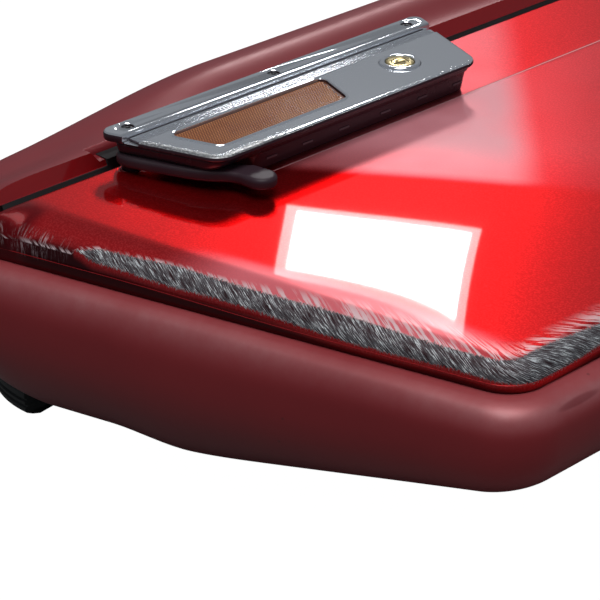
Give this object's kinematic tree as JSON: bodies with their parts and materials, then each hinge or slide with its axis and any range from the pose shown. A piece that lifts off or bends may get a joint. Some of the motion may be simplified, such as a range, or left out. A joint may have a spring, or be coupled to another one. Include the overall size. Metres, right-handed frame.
{
  "type": "motorcycle saddlebag",
  "caption": "Hard side case with a two-part shell, a hinged outer lid, a chrome-trimmed latch unit with reflector, finger lever, catch hooks and key lock, and bosses on its back.",
  "frame": {"origin": "middle of the bounding box in plan, on the plane of the back bosses", "axes": "+Z outboard, away from the motorcycle; +Y towards the rear of the bag; +X towards its lower edge"},
  "size_m": [0.41, 0.5889, 0.1995],
  "materials": {
    "body_red": "red paint on moulded plastic, dulled by dust",
    "lid_red": "glossy metallic red paint on moulded plastic, scraped to grey-black along its lower edge",
    "tub_black": "fine texture",
    "bumper_black": "matt",
    "satin_black": "satin",
    "chrome": "polished, pitted along one edge",
    "amber_lens": "prismatic reflector",
    "seal_rubber": "matt",
    "steel": "plated",
    "liner_black": "fine texture",
    "lock_brass": "worn plating"
  },
  "bodies": {
    "case": {"outer_case_shell": "body_red", "inner_case_tub": "tub_black", "corner_bumper_front": "bumper_black", "corner_bumper_rear": "bumper_black", "mouth_seal": "seal_rubber", "strike_plate_1": "steel", "strike_plate_2": "steel", "inner_stiffener": "steel", "mount_boss_1": "steel", "mount_boss_2": "steel", "mount_boss_3": "steel", "mount_boss_4": "steel", "mount_bolt_1": "steel", "mount_bolt_2": "steel", "mount_bolt_3": "steel", "mount_bolt_4": "steel", "drain_plug": "seal_rubber", "hinge_fixed_front": "steel", "hinge_fixed_rear": "steel", "hinge_pin_front": "steel", "hinge_pin_rear": "steel"},
    "lid": {"lid_shell": "lid_red", "lid_liner": "liner_black", "hinge_moving_front": "steel", "hinge_moving_rear": "steel", "latch_base": "satin_black", "latch_bezel": "chrome", "latch_top_plate": "chrome", "plate_screw_1": "steel", "plate_screw_2": "steel", "plate_screw_3": "steel", "ribbed_insert": "satin_black", "amber_reflector": "amber_lens", "lock_escutcheon": "chrome", "shaft_bearing_1": "satin_black", "shaft_bearing_2": "satin_black", "shaft_bearing_3": "satin_black", "lever_pin": "steel"},
    "lever": {"latch_lever": "satin_black"},
    "hooks": {"hook_shaft": "steel"},
    "key_cylinder": {"lock_cylinder": "lock_brass"}
  },
  "joints": [
    {"name": "lid_hinge", "type": "hinge", "parent": "case", "child": "lid", "pos_m": [0.18804, 0, 0.1505], "axis": [0, 1, 0], "range_deg": [0, 85]},
    {"name": "lever_pivot", "type": "hinge", "parent": "lid", "child": "lever", "pos_m": [-0.11846, -0.18048, 0.183], "axis": [0, 0, -1], "range_deg": [-8, 12]},
    {"name": "hook_turn", "type": "hinge", "parent": "lid", "child": "hooks", "pos_m": [-0.11196, -0.06148, 0.163], "axis": [0, -1, 0], "range_deg": [-14, 21]},
    {"name": "key_turn", "type": "hinge", "parent": "lid", "child": "key_cylinder", "pos_m": [-0.08646, 0.00852, 0.19], "axis": [0, 0, 1], "range_deg": [0, 90]}
  ],
  "couplings": [
    {"joint": "hook_turn", "follows": "lever_pivot", "ratio": 1.75}
  ]
}
